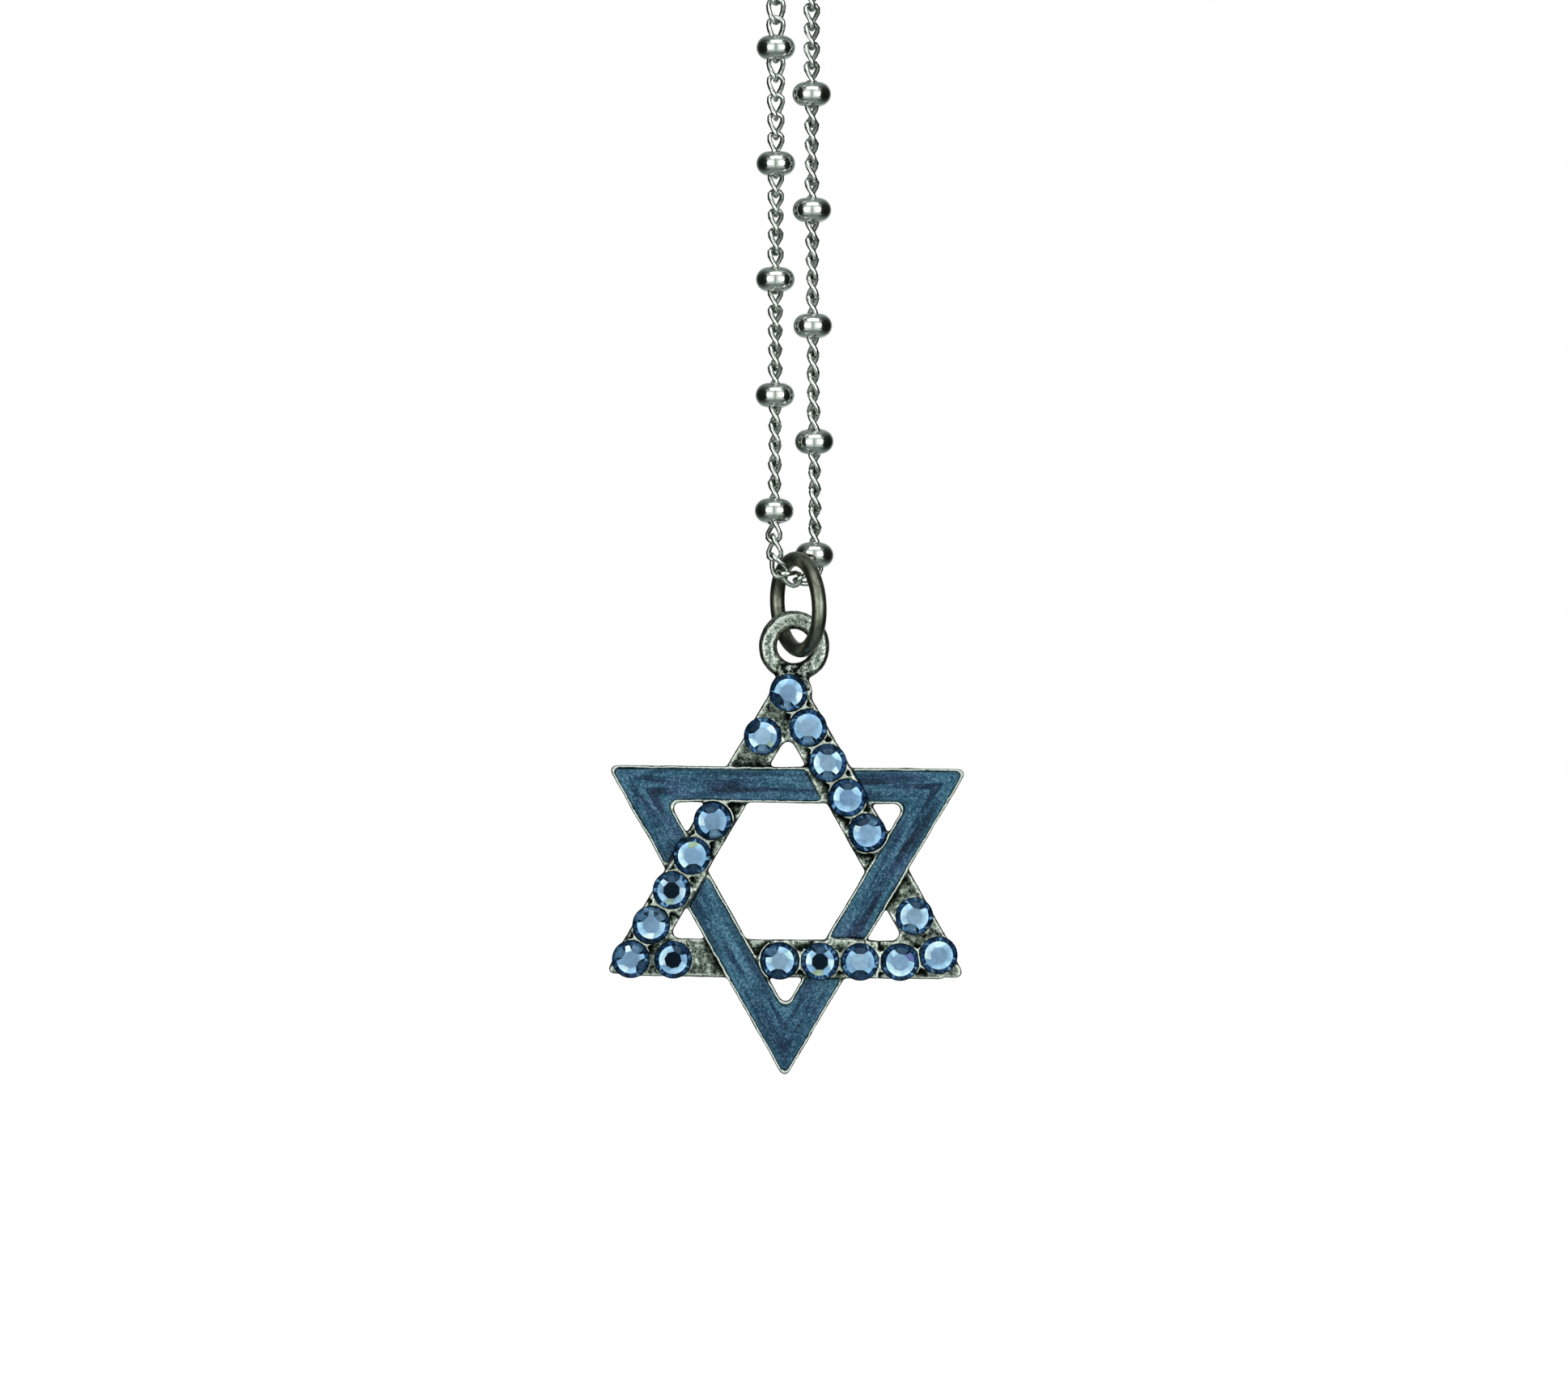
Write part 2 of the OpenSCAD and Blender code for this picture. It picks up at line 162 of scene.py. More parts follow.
# Matt white board: even, with hardly any tone of its own, in patches of 25 mm
board, tree, spot = finish_named("matt_white_board")
grain = add(tree, "ShaderNodeTexNoise", {"Vector": spot, "Scale": 40.0, "Detail": 4.0})
tone = add(tree, "ShaderNodeValToRGB", {"Fac": grain}, stops=[(0.3, "#f6f6f5"), (0.7, "#fafaf9")])
matt = add(tree, "ShaderNodeBsdfPrincipled", {"Base Color": tone, "Roughness": 0.8,
                                              "Specular IOR Level": 0.0, "Emission Color": (1, 1, 1, 1),
                                              "Emission Strength": 0.4})
add(tree, "ShaderNodeOutputMaterial", {"Surface": matt})
floor_edge, floor_z = 4000.0, -252.0
floor = piece("floor", [(x * floor_edge, y * floor_edge, floor_z) for x, y in ((-1, -1), (1, -1), (1, 1), (-1, 1))],
              [(0, 1, 2, 3)], board)
floor.visible_glossy = False

# The star: one casting in white metal, tumbled, darkened with oxide and wiped back, so its raised edges are
# bright and its hollows black. The up triangle carries the seats for the stones and the down triangle a trough
# for the enamel.
lean = math.radians(0.6)
# Where the middle of the star's flat drawing hangs, at the back of the casting
star_x, star_back, star_z = -0.5077, 1.35, -221.052
# Each triangle's side and inner circle, the rows of stones in it, and where along a side the bars cross
root3 = math.sqrt(3)
stone_r, pitch, bar_w = 1.27, 2.68, 2.4
stone_in, cross_gap = 1.0, 0.98
cross_half = bar_w / root3
side = 1.5 * (4 * pitch + cross_half + stone_r + cross_gap + stone_in * root3)
inr = side / (2 * root3)
row_r = inr - stone_in
cross_u = side / 6
u_before = cross_u - cross_half - stone_r - cross_gap
u_near = cross_u + cross_half + stone_r
u_far = side / 2 - stone_in * root3 - pitch
after_share = (0.12, 0.85, 0.3)
high_rows = (0, 0, 1, 1, 0, 0)
low_seat, seat_step = 1.25, 0.45
# The stone in the lower right corner sits higher than its row, close against the next one
corner_up, corner_gap = 0.48, 0.07
corner_slide = pitch - math.sqrt((2 * stone_r + corner_gap) ** 2 - corner_up ** 2)


def standing(x, y, h):
    """From the flat drawing of the star, with h its height off the drawing, to its place as it hangs."""
    return (x * math.cos(lean) + y * math.sin(lean) + star_x, star_back - h,
            -x * math.sin(lean) + y * math.cos(lean) + star_z)


def on_row(k, u, d):
    """A place on row k: u along the row, d out from the middle of the star."""
    a = math.radians(30 - 120 * k)
    return d * math.cos(a) + u * math.sin(a), d * math.sin(a) - u * math.cos(a)


def stone_place(k, j):
    """The middle of stone j of row k, and how high the bar is there."""
    top = low_seat + seat_step * high_rows[j]
    if j == 0 and k == 1:
        return on_row(k, corner_slide - row_r * root3, row_r - corner_up) + (top,)
    if j == 0:
        a = math.radians(90 - 120 * k)
        return 2 * row_r * math.cos(a), 2 * row_r * math.sin(a), top
    u = u_near + after_share[k] * (u_far - u_near) if j == 5 else u_before - (4 - j) * pitch
    return on_row(k, u, row_r) + (top,)


def rib(line, width, low, high):
    """A closed rib that follows a line of drawing points; foot and crown are shares of its width."""
    foot, crown = 0.62, 0.4
    points, faces = [], []
    n = len(line)
    for i, (x, y) in enumerate(line):
        a, b = line[max(i - 1, 0)], line[min(i + 1, n - 1)]
        size = math.hypot(b[0] - a[0], b[1] - a[1])
        nx, ny = (a[1] - b[1]) / size, (b[0] - a[0]) / size
        for w, h in ((foot, low), (crown, high), (-crown, high), (-foot, low)):
            points.append(standing(x + nx * w * width, y + ny * w * width, h))
    for i in range(n - 1):
        for m in range(4):
            a, b = 4 * i + m, 4 * i + (m + 1) % 4
            faces.append((a, b, b + 4, a + 4))
    return points, faces + [(3, 2, 1, 0), tuple(4 * (n - 1) + m for m in range(4))]


def joined_copy(node):
    """A copy of a CAD node's form in millimetres, with its loose triangles joined."""
    form = bmesh.new()
    form.from_mesh(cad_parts[node].data)
    form.transform(Matrix.Scale(1 / mm, 4))
    bmesh.ops.remove_doubles(form, verts=form.verts, dist=0.0005)
    return form


def skinned(name, node, form, voxel):
    """An object made from a form, with an even skin laid over it."""
    rough = bpy.data.meshes.new(node + "_rough")
    form.to_mesh(rough)
    form.free()
    made = bpy.data.objects.new(name, rough)
    scene.collection.objects.link(made)
    remesh = made.modifiers.new("skin", "REMESH")
    remesh.mode = "VOXEL"
    remesh.voxel_size = voxel
    return made


ribs = []
chance = np.random.default_rng(7)
tip_in, off_cross, over_cross = 1.6, 2.3, 2.2
line_out = (0.06, 0.04, -0.06)
line_w, ridge_w, crescent_w = 0.24, 0.15, 0.22
line_foot, low_line, high_line, ridge_foot = 0.2, 1.36, 1.8, 0.9
ridge_r, ridge_half, ridge_stray, ridge_up, ridge_up_stray = 1.335, 34, 10, 0.5, 0.2
crescent_r, crescent_half, crescent_step, crescent_up = 1.38, 62, 12, 0.42
for k in range(3):
    # Thin raised line along the outer edge of each stone bar, higher where the bar crosses over the other triangle
    for first, last, top in ((-side / 2 + tip_in, -cross_u - off_cross, low_line),
                             (-cross_u - over_cross, -cross_u + over_cross, high_line),
                             (-cross_u + off_cross, side / 2 - tip_in, low_line)):
        ribs.append(rib([on_row(k, first + (last - first) * i / 8, inr + line_out[k]) for i in range(9)],
                        line_w, line_foot, top))
    # Ridges between neighbouring stones: a low arc round each, which meet in the middle
    for j in range(4):
        x0, y0, t0 = stone_place(k, j)
        x1, y1, t1 = stone_place(k, j + 1)
        for x, y, towards in ((x0, y0, math.atan2(y1 - y0, x1 - x0)), (x1, y1, math.atan2(y0 - y1, x0 - x1))):
            first, last = -ridge_half - ridge_stray * chance.random(), ridge_half + ridge_stray * chance.random()
            line = [(x + ridge_r * math.cos(towards + math.radians(first + (last - first) * t)),
                     y + ridge_r * math.sin(towards + math.radians(first + (last - first) * t)))
                    for t in np.linspace(0, 1, 9)]
            crown = min(t0, t1) + ridge_up + ridge_up_stray * chance.random()
            ribs.append(rib(line, ridge_w, ridge_foot, crown))
    # Raised crescent round the stone that ends the row before the enamelled bar
    x0, y0, t0 = stone_place(k, 4)
    ahead = math.atan2(*reversed(on_row(k, 1, 0)))
    line = [(x0 + crescent_r * math.cos(ahead + math.radians(a)),
             y0 + crescent_r * math.sin(ahead + math.radians(a)))
            for a in range(-crescent_half, crescent_half + 1, crescent_step)]
    ribs.append(rib(line, crescent_w, ridge_foot, t0 + crescent_up))
cast = joined_copy("star")
for points, faces in ribs:
    made = [cast.verts.new(p) for p in points]
    for face in faces:
        cast.faces.new([made[i] for i in face])
bmesh.ops.recalc_face_normals(cast, faces=cast.faces)
star = skinned("star_casting", "star", cast, voxel=0.106)
star.modifiers["skin"].use_smooth_shade = True

# Antiqued white metal: grey-white where wiped bright, black-olive oxide in the hollows, painted shade on the side
# walls, with fine pits all over.
# Patches of 0.9 mm, pits of 0.3 mm and specks of 0.13 mm
antique, tree, spot = finish_named("antiqued_cast_white_metal")
recess = add(tree, "ShaderNodeAttribute", attribute_name="recess").outputs["Fac"]
wall = add(tree, "ShaderNodeAttribute", attribute_name="wall").outputs["Fac"]
patches = add(tree, "ShaderNodeTexNoise", {"Vector": spot, "Scale": 1100.0, "Detail": 4.0, "Roughness": 0.6})
pits = add(tree, "ShaderNodeTexNoise", {"Vector": spot, "Scale": 3400.0, "Detail": 4.0, "Roughness": 0.65})
# How dark a spot is: the oxide of its hollow and patch together, its pits, painted shade on the side walls and the
# finest specks
patch_level, patch_weight, hollow_weight = 0.4, 1.1, 0.62
pit_weight, pit_level, wall_shade_weight = -1.9, 1.13, 0.36
oxide_and_shade = add(tree, "ShaderNodeMath", {0: patches, 1: patch_level}, operation="SUBTRACT")
oxide_and_shade = add(tree, "ShaderNodeMath", {0: oxide_and_shade, 1: patch_weight, 2: recess}, operation="MULTIPLY_ADD")
oxide_and_shade = add(tree, "ShaderNodeMath", {0: oxide_and_shade, 1: hollow_weight}, operation="MULTIPLY")
fine = add(tree, "ShaderNodeMath", {0: pits, 1: pit_weight, 2: pit_level}, operation="MULTIPLY_ADD")
oxide_and_shade = add(tree, "ShaderNodeMath", {0: oxide_and_shade, 1: fine}, operation="ADD")
oxide_and_shade = add(tree, "ShaderNodeMath", {0: wall, 1: wall_shade_weight, 2: oxide_and_shade}, operation="MULTIPLY_ADD")
specks = add(tree, "ShaderNodeTexNoise", {"Vector": spot, "Scale": 7500.0, "Detail": 2.0, "Roughness": 0.6})
specks = add(tree, "ShaderNodeMapRange", {"Value": specks, "From Min": 0.52, "From Max": 0.68,
                                          "To Min": 0.03, "To Max": 0.55})
oxide_and_shade = add(tree, "ShaderNodeMath", {0: oxide_and_shade, 1: specks}, operation="ADD")
# Oxide left in the throat below the eye, in spots of 0.4 mm
throat_middle = (-0.00005, -0.00005, -0.2078)
throat = add(tree, "ShaderNodeVectorMath", {0: spot, 1: throat_middle}, operation="DISTANCE")
throat = add(tree, "ShaderNodeMapRange", {"Value": throat.outputs["Value"], "From Min": 0.0005,
                                          "From Max": 0.0016, "To Min": 2.4, "To Max": 0.0})
spots = add(tree, "ShaderNodeTexNoise", {"Vector": spot, "Scale": 2300.0, "Detail": 3.0, "Roughness": 0.6})
spots = add(tree, "ShaderNodeMapRange", {"Value": spots, "From Min": 0.45, "From Max": 0.75})
oxide_and_shade = add(tree, "ShaderNodeMath", {0: throat, 1: spots, 2: oxide_and_shade}, operation="MULTIPLY_ADD")
shade = add(tree, "ShaderNodeValToRGB", {"Fac": oxide_and_shade},
            stops=[(0.0, "#c6cfc6"), (0.2, "#8f9990"), (0.42, "#626d64"), (0.64, "#2d3630"), (0.9, "#0d120f")])
gloss = add(tree, "ShaderNodeMapRange", {"Value": oxide_and_shade, "From Min": 0.1, "From Max": 0.8,
                                         "To Min": 0.26, "To Max": 0.6})
relief = add(tree, "ShaderNodeBump", {"Height": pits, "Strength": 0.9, "Distance": 0.00005})
metal = add(tree, "ShaderNodeBsdfPrincipled", {"Base Color": shade, "Metallic": 1.0,
                                               "Roughness": gloss, "Normal": relief})
add(tree, "ShaderNodeOutputMaterial", {"Surface": metal})


def shaping_tree(name, kinds):
    """A Geometry Nodes tree with named inputs of the given kinds, and the sockets of these."""
    made = bpy.data.node_groups.new(name, "GeometryNodeTree")
    made.interface.new_socket("Geometry", in_out="INPUT", socket_type="NodeSocketGeometry")
    sockets = {key: made.interface.new_socket(key, in_out="INPUT", socket_type="NodeSocket" + kind)
               for key, kind in kinds.items()}
    made.interface.new_socket("Geometry", in_out="OUTPUT", socket_type="NodeSocketGeometry")
    return made, sockets


def evaluated(made):
    """The mesh that an object's modifiers make of it."""
    return bpy.data.meshes.new_from_object(made.evaluated_get(bpy.context.evaluated_depsgraph_get()))


# Geometry Nodes: the skin of the casting, rounded, rippled and pitted, with the depth of each hollow stored
skin_sizes = {"Ripple": 0.035, "Ripple Spacing": 1.8, "Pit Depth": 0.08, "Pit Spacing": 0.34, "Hollow Depth": 0.1}
skin, sockets = shaping_tree("cast_skin", dict.fromkeys(skin_sizes, "Float"))
given = add(skin, "NodeGroupInput").outputs
place = add(skin, "GeometryNodeInputPosition")
rounded = add(skin, "GeometryNodeBlurAttribute", {"Value": place, "Iterations": 2}, data_type="FLOAT_VECTOR")
form = add(skin, "GeometryNodeSetPosition", {"Geometry": given["Geometry"], "Position": rounded})
out = add(skin, "GeometryNodeInputNormal")
# How far a spot lies below its near and its wider surroundings
wide_weight = 0.4
below = []
for rounds in (14, 60):
    wide = add(skin, "GeometryNodeBlurAttribute", {"Value": place, "Iterations": rounds}, data_type="FLOAT_VECTOR")
    wide = add(skin, "ShaderNodeVectorMath", {0: wide, 1: place}, operation="SUBTRACT")
    wide = add(skin, "ShaderNodeVectorMath", {0: wide, 1: out}, operation="DOT_PRODUCT")
    below.append(wide.outputs["Value"])
sunk = add(skin, "ShaderNodeMath", {0: below[0], 1: given["Hollow Depth"]}, operation="DIVIDE")
sunk = add(skin, "ShaderNodeMath", {0: below[1], 1: wide_weight, 2: sunk}, operation="MULTIPLY_ADD")
# The back was wiped cleaner than the front
backward = add(skin, "ShaderNodeSeparateXYZ", {0: out}).outputs["Y"]
wiped = add(skin, "ShaderNodeMapRange", {"Value": backward, "From Min": 0.6, "From Max": 0.95, "To Max": -0.26})
sunk = add(skin, "ShaderNodeMath", {0: sunk, 1: wiped}, operation="ADD")
# Painted shade: spots on the side walls, facing sideways, are stored so the metal's colour is darkened there
sidelong_shade = add(skin, "ShaderNodeMath", {0: backward}, operation="ABSOLUTE")
sidelong_shade = add(skin, "ShaderNodeMapRange", {"Value": sidelong_shade, "From Min": 0.15, "From Max": 0.9,
                                            "To Min": 1.0, "To Max": 0.0})
for name, measure in (("recess", sunk), ("wall", sidelong_shade)):
    form = add(skin, "GeometryNodeStoreNamedAttribute", {"Geometry": form, "Name": name, "Value": measure},
               data_type="FLOAT", domain="POINT")
# The noise strays by a quarter either way, so four times it is as high as the ripple
scale = add(skin, "ShaderNodeMath", {0: 1.0, 1: given["Ripple Spacing"]}, operation="DIVIDE")
waves = add(skin, "ShaderNodeTexNoise", {"Vector": place, "Scale": scale, "Detail": 1.0})
waves = add(skin, "ShaderNodeVectorMath", {0: waves.outputs[1], 1: (0.5, 0.5, 0.5)}, operation="SUBTRACT")
height = add(skin, "ShaderNodeMath", {0: given["Ripple"], 1: 4.0}, operation="MULTIPLY")
waves = add(skin, "ShaderNodeVectorMath", {0: waves, "Scale": height}, operation="SCALE")
scale = add(skin, "ShaderNodeMath", {0: 1.0, 1: given["Pit Spacing"]}, operation="DIVIDE")
dents = add(skin, "ShaderNodeTexNoise", {"Vector": place, "Scale": scale, "Detail": 2.0,
                                         "Roughness": 0.6})
dents = add(skin, "ShaderNodeMapRange", {"Value": dents, "From Min": 0.52, "From Max": 0.78,
                                         "To Min": 0.0, "To Max": -1.0})
dents = add(skin, "ShaderNodeMath", {0: dents, 1: given["Pit Depth"]}, operation="MULTIPLY")
dents = add(skin, "ShaderNodeVectorMath", {0: out, "Scale": dents}, operation="SCALE")
moved = add(skin, "ShaderNodeVectorMath", {0: waves, 1: dents}, operation="ADD")
form = add(skin, "GeometryNodeSetPosition", {"Geometry": form, "Offset": moved})
form = add(skin, "GeometryNodeRealizeInstances", {"Geometry": form})
form = add(skin, "GeometryNodeSetMaterial", {"Geometry": form, "Material": antique})
add(skin, "NodeGroupOutput", {"Geometry": form})
casting = star.modifiers.new("cast_skin", "NODES")
casting.node_group = skin
for name, size in skin_sizes.items():
    casting[sockets[name].identifier] = size


def settled(made, node):
    """Turns the evaluated form into the object's own mesh in metres, inside the CAD node's box."""
    low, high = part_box(node)
    mesh = evaluated(made)
    made.modifiers.clear()
    spots = np.zeros(len(mesh.vertices) * 3)
    mesh.vertices.foreach_get("co", spots)
    spots = np.clip(spots.reshape(-1, 3) * mm, low, high)
    mesh.vertices.foreach_set("co", spots.ravel())
    mesh.polygons.foreach_set("use_smooth", [True] * len(mesh.polygons))
    made.data = mesh
    mesh.update()


settled(star, "star")
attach(star, "pendant")
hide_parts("star")

# The enamel: glass powder washed wet into the trough of the down triangle and fired, so it stands a little domed.
# It is dark teal with a pearl dust that has settled in streaks along the bars.
glaze, tree, spot = finish_named("fired_teal_enamel")
# How far apart in the streak pattern the pools' parts of it lie
lot_gap = 5.0
lie = add(tree, "ShaderNodeUVMap", uv_map="bar")
# Streaks of 6 by 0.7 mm, threads of 1.1 by 0.14 mm and a slow change over 4 mm
lanes = add(tree, "ShaderNodeMapping", {"Vector": lie, "Location": (3.3, 0, 0), "Scale": (0.16, 1.5, 1.0)})
drift = add(tree, "ShaderNodeTexNoise", {"Vector": lanes, "Scale": 1.0, "Detail": 3.0,
                                         "Roughness": 0.55, "Distortion": 0.4})
threads = add(tree, "ShaderNodeMapping", {"Vector": lie, "Scale": (0.9, 7.0, 1.0)})
silk = add(tree, "ShaderNodeTexNoise", {"Vector": threads, "Scale": 1.0, "Detail": 3.0})
wash = add(tree, "ShaderNodeTexNoise", {"Vector": spot, "Scale": 240.0, "Detail": 1.0})
flow_level, wash_weight, drift_weight, silk_weight = -0.285, 0.25, 1.4, 0.24
flow = add(tree, "ShaderNodeMath", {0: wash, 1: wash_weight, 2: flow_level}, operation="MULTIPLY_ADD")
for pattern, weight in ((drift, drift_weight), (silk, silk_weight)):
    flow = add(tree, "ShaderNodeMath", {0: pattern, 1: weight, 2: flow}, operation="MULTIPLY_ADD")
body = add(tree, "ShaderNodeValToRGB", {"Fac": flow},
           stops=[(0.5, "#011a2e"), (0.6, "#042b44"), (0.7, "#13435a"), (0.86, "#326074")])
# Brighter teal along both edges of a bar, by the distance from its middle line
across = add(tree, "ShaderNodeSeparateXYZ", {0: lie})
across = add(tree, "ShaderNodeMath", {0: across.outputs["Y"], 1: lot_gap / 2}, operation="ADD")
across = add(tree, "ShaderNodeMath", {0: across, 1: lot_gap}, operation="MODULO")
across = add(tree, "ShaderNodeMath", {0: across, 1: lot_gap / 2}, operation="SUBTRACT")
margin = add(tree, "ShaderNodeMath", {0: across}, operation="ABSOLUTE")
margin = add(tree, "ShaderNodeMapRange", {"Value": margin, "From Min": 0.55, "From Max": 1.05, "To Max": 0.5})
body = add(tree, "ShaderNodeMix", {"Factor": margin, 6: body, 7: srgb("#215a6b")}, data_type="RGBA")
# Violet pearl gathers in clouds of 3 mm
cloud = add(tree, "ShaderNodeTexNoise", {"Vector": spot, "Scale": 330.0, "Detail": 3.0, "Roughness": 0.55})
pearl = add(tree, "ShaderNodeMapRange", {"Value": cloud, "From Min": 0.5, "From Max": 0.7, "To Max": 0.5})
body = add(tree, "ShaderNodeMix", {"Factor": pearl, 6: body.outputs[2], 7: srgb("#33476a")}, data_type="RGBA")
# Pearl dust of 0.11 mm, dark and pale grains, with fewer pale ones where the glass is dark
dust = add(tree, "ShaderNodeTexNoise", {"Vector": spot, "Scale": 9000.0, "Detail": 2.0, "Roughness": 0.7})
grit = add(tree, "ShaderNodeMapRange", {"Value": dust, "From Min": 0.32, "From Max": 0.68,
                                        "To Min": 0.5, "To Max": 1.4})
body = add(tree, "ShaderNodeVectorMath", {0: body.outputs[2], "Scale": grit}, operation="SCALE")
fleck = add(tree, "ShaderNodeMapRange", {"Value": dust, "From Min": 0.5, "From Max": 0.74, "To Max": 0.6})
fewer = add(tree, "ShaderNodeMapRange", {"Value": flow, "From Min": 0.56, "From Max": 0.72, "To Min": 0.3})
fleck = add(tree, "ShaderNodeMath", {0: fleck, 1: fewer}, operation="MULTIPLY")
body = add(tree, "ShaderNodeMix", {"Factor": fleck, 6: body, 7: srgb("#7d96a8")}, data_type="RGBA")
relief = add(tree, "ShaderNodeBump", {"Height": drift, "Strength": 0.35, "Distance": 0.00006})
glass = add(tree, "ShaderNodeBsdfPrincipled", {"Base Color": body.outputs[2], "Roughness": 0.32, "IOR": 1.5,
                                               "Specular IOR Level": 0.2, "Normal": relief})
add(tree, "ShaderNodeOutputMaterial", {"Surface": glass})

# Each pool has its own part of the streak pattern
for lot, name in ((0, "enamel_left"), (4, "enamel_right"), (2, "enamel_tip")):
    fill = skinned(name.replace("enamel", "enamel_pool"), name, joined_copy(name), voxel=0.1)
    swell = fill.modifiers.new("swell", "DISPLACE")
    swell.strength = 0.06
    swell.mid_level = 0.0
    soften = fill.modifiers.new("soften", "SMOOTH")
    soften.iterations = 3
    settled(fill, name)
    spots = np.zeros(len(fill.data.vertices) * 3)
    fill.data.vertices.foreach_get("co", spots)
    spots = spots.reshape(-1, 3) / mm
    # Distance along the bar from the pool's corner, and place across the bar, in millimetres
    x, z = spots[:, 0] - star_x, spots[:, 2] - star_z
    flat = np.stack([x * math.cos(lean) - z * math.sin(lean), x * math.sin(lean) + z * math.cos(lean)], 1)
    tips = {a: 2 * inr * np.array([math.cos(math.radians(a)), math.sin(math.radians(a))])
            for a in (150, 30, -90)}
    corner = min(tips, key=lambda a: np.linalg.norm(flat - tips[a], axis=1).min())
    outer = np.full(len(flat), -np.inf)
    lie = np.zeros((len(flat), 2))
    for a in np.radians((corner - 60, corner + 60)):
        out_from = flat @ np.array([math.cos(a), math.sin(a)])
        run = np.abs((flat - tips[corner]) @ np.array([math.sin(a), -math.cos(a)]))
        nearer = out_from > outer
        outer[nearer] = out_from[nearer]
        lie[nearer] = np.stack([run, out_from - (inr - bar_w / 2) + lot_gap * lot], 1)[nearer]
    layer = fill.data.uv_layers.new(name="bar")
    loops = np.zeros(len(fill.data.loops), int)
    fill.data.loops.foreach_get("vertex_index", loops)
    layer.data.foreach_set("uv", lie[loops].ravel())
    fill.data.materials.clear()
    fill.data.materials.append(glaze)
    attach(fill, "pendant")
    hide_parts(name)

# The crystals: eighteen round flat-back stones of pale sapphire glass, pressed and polished, glued in their
# seats. Each has a foil on its back that throws the light out again; that light is painted into the colour, so
# every facet shows a painted tone of its own: the blue of the glass with a painted reflection.
crystal_painted_facets, tree, spot = finish_named("sapphire_crystal_painted_reflections")
glass_and_reflection_tone = add(tree, "ShaderNodeAttribute", attribute_name="facet_glass_and_reflection").outputs["Color"]
# The foil's unevenness, over 0.4 mm, in the painted reflections
haze = add(tree, "ShaderNodeTexNoise", {"Vector": spot, "Scale": 2600.0, "Detail": 2.0})
haze = add(tree, "ShaderNodeMapRange", {"Value": haze, "From Min": 0.3, "From Max": 0.7,
                                        "To Min": 0.84, "To Max": 1.14})
tint = add(tree, "ShaderNodeVectorMath", {0: glass_and_reflection_tone, "Scale": haze}, operation="SCALE")
cut = add(tree, "ShaderNodeBsdfPrincipled", {"Base Color": tint, "Metallic": 0.1, "Roughness": 0.12,
                                             "IOR": 1.56, "Specular IOR Level": 0.4,
                                             "Specular Tint": srgb("#86b2dc"), "Coat Weight": 0.1,
                                             "Coat Roughness": 0.03})
add(tree, "ShaderNodeOutputMaterial", {"Surface": cut})

table_r, mid_r, edge_r, back_r = 0.58, 0.939, 1.205, 0.8
girdle_low, girdle_high, mid_h, stone_h = 0.46, 0.54, 0.92, 1.15
seat_depth = 0.06
mains, rims = 8, 32
main_step, rim_step, side_turn = 360 / mains, 360 / rims, 14
# Where each ring of a stone's points starts, from the table's corners to the back, and its two middle points
mid_at, edge_at, high_at, low_at, back_at, top_at, under_at = 8, 40, 72, 104, 136, 168, 169
# Painted reflections: tones of the kinds of facet, the glass's blue with the light the foil throws back painted
# in: pale, table, slate, dark, black, green, violet, and the rim's
facet_glass_and_reflection_tones = {kind: [srgb(c)[:3] for c in codes.split()] for kind, codes in (
    ("p", "#a9cfe6 #86aecb #bddff0 #93bcd8 #7299b8"), ("t", "#8fb8da #a2c9e5 #82abd2"),
    ("s", "#486880 #3b5a72 #557389"), ("d", "#182c3c #102130 #20384b"),
    ("k", "#05121d #0a1a27"), ("g", "#8ba288 #7f9c90"), ("v", "#5f6ba0 #4d5f96"),
    ("rim", "#10263d #1b3c5e #0a1828 #2a5078 #16304c #10263d #1d4166 #0c1e33 #5d89ad"))}
# Each stone's main facets, eight of them, counted anticlockwise from the direction in degrees, with the painted
# reflection each shows. Slate and dark ones have black facets at their sides.
facet_reflection_plan = {1: (-100, "sppppppd"), 2: (-90, "sppppppp"), 3: (-90, "spppdppp"), 4: (90, "dppppppp"),
              5: (67, "sdpppppp"), 6: (75, "dpppsppp"), 7: (-40, "pppppppp"), 8: (80, "dppppppv"),
              9: (90, "dpppdppp"), 10: (90, "dpppgppp"), 11: (-95, "dppppspp"), 12: (60, "dppppppp"),
              13: (60, "spspppdp"), 14: (90, "ssppppps"), 15: (90, "dpppgppp"), 16: (-85, "dpppgppp"),
              17: (-80, "spppdppp"), 18: (-90, "sgpppdpp")}
# Stones whose tables are painted near-black, a painted dark reflection
dark_reflection_tables = (10, 12, 15)
foil_back = [0.3, 0.3, 0.3]


def ring(r, z, angles):
    """Points round a stone's middle."""
    return [(r * math.cos(math.radians(a)), r * math.sin(math.radians(a)), z) for a in angles]


